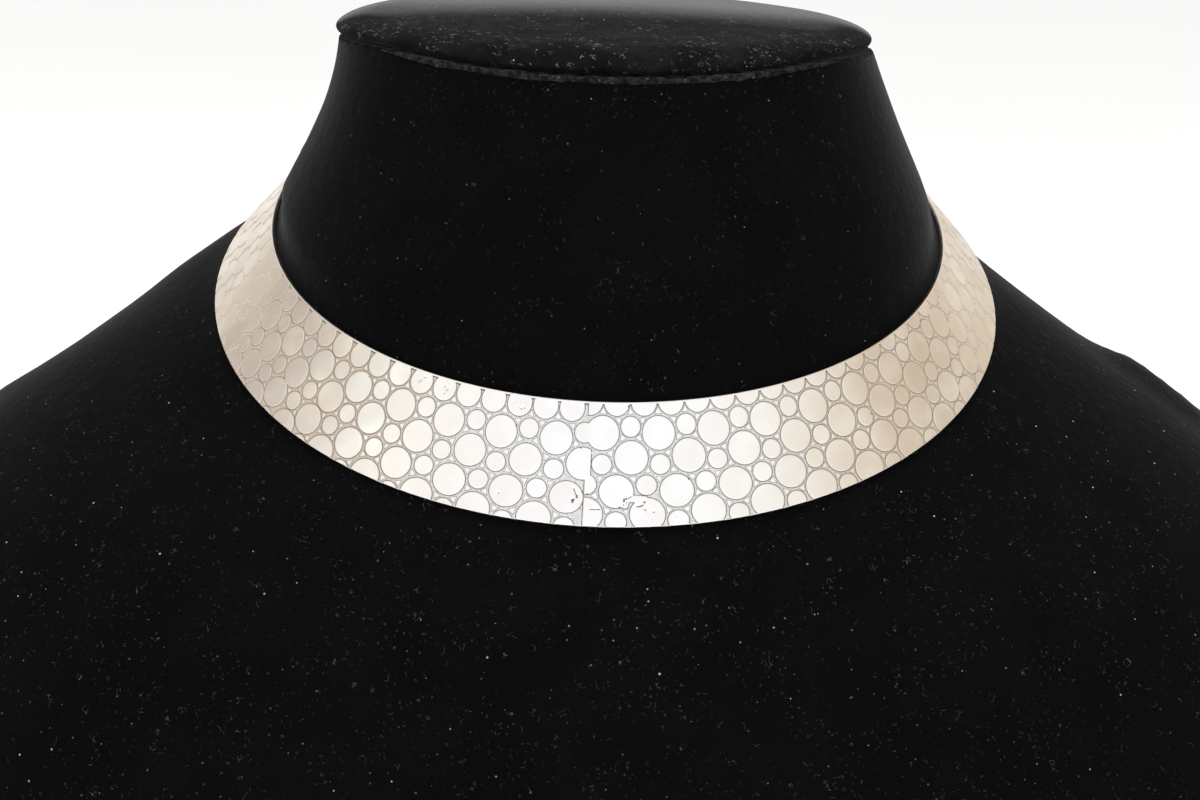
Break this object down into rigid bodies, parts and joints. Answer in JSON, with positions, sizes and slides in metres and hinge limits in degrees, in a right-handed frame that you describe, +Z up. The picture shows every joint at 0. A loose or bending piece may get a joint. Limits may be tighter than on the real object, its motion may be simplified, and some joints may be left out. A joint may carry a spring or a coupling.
{
  "type": "neck cuff on a neck bust",
  "caption": "Rigid silver neck cuff, a conical crescent of sheet stamped with circles and open at the nape, worn by a black velvet neck bust with a flat foot.",
  "frame": {"origin": "middle of the bust's flat foot, on the surface that it stands on", "axes": "+Z up, the throat faces -Y, +X to the viewer's right, and the cuff is alike on both sides of the YZ plane"},
  "size_m": [0.298, 0.1598, 0.2299],
  "materials": {
    "silver": "worn silver with soft satin circles and dark oxidised lines between them",
    "velvet": "black velvet, short pile with a little lint"
  },
  "bodies": {
    "root": {"cuff": "silver", "bust": "velvet", "neck_cap": "velvet"}
  },
  "joints": []
}
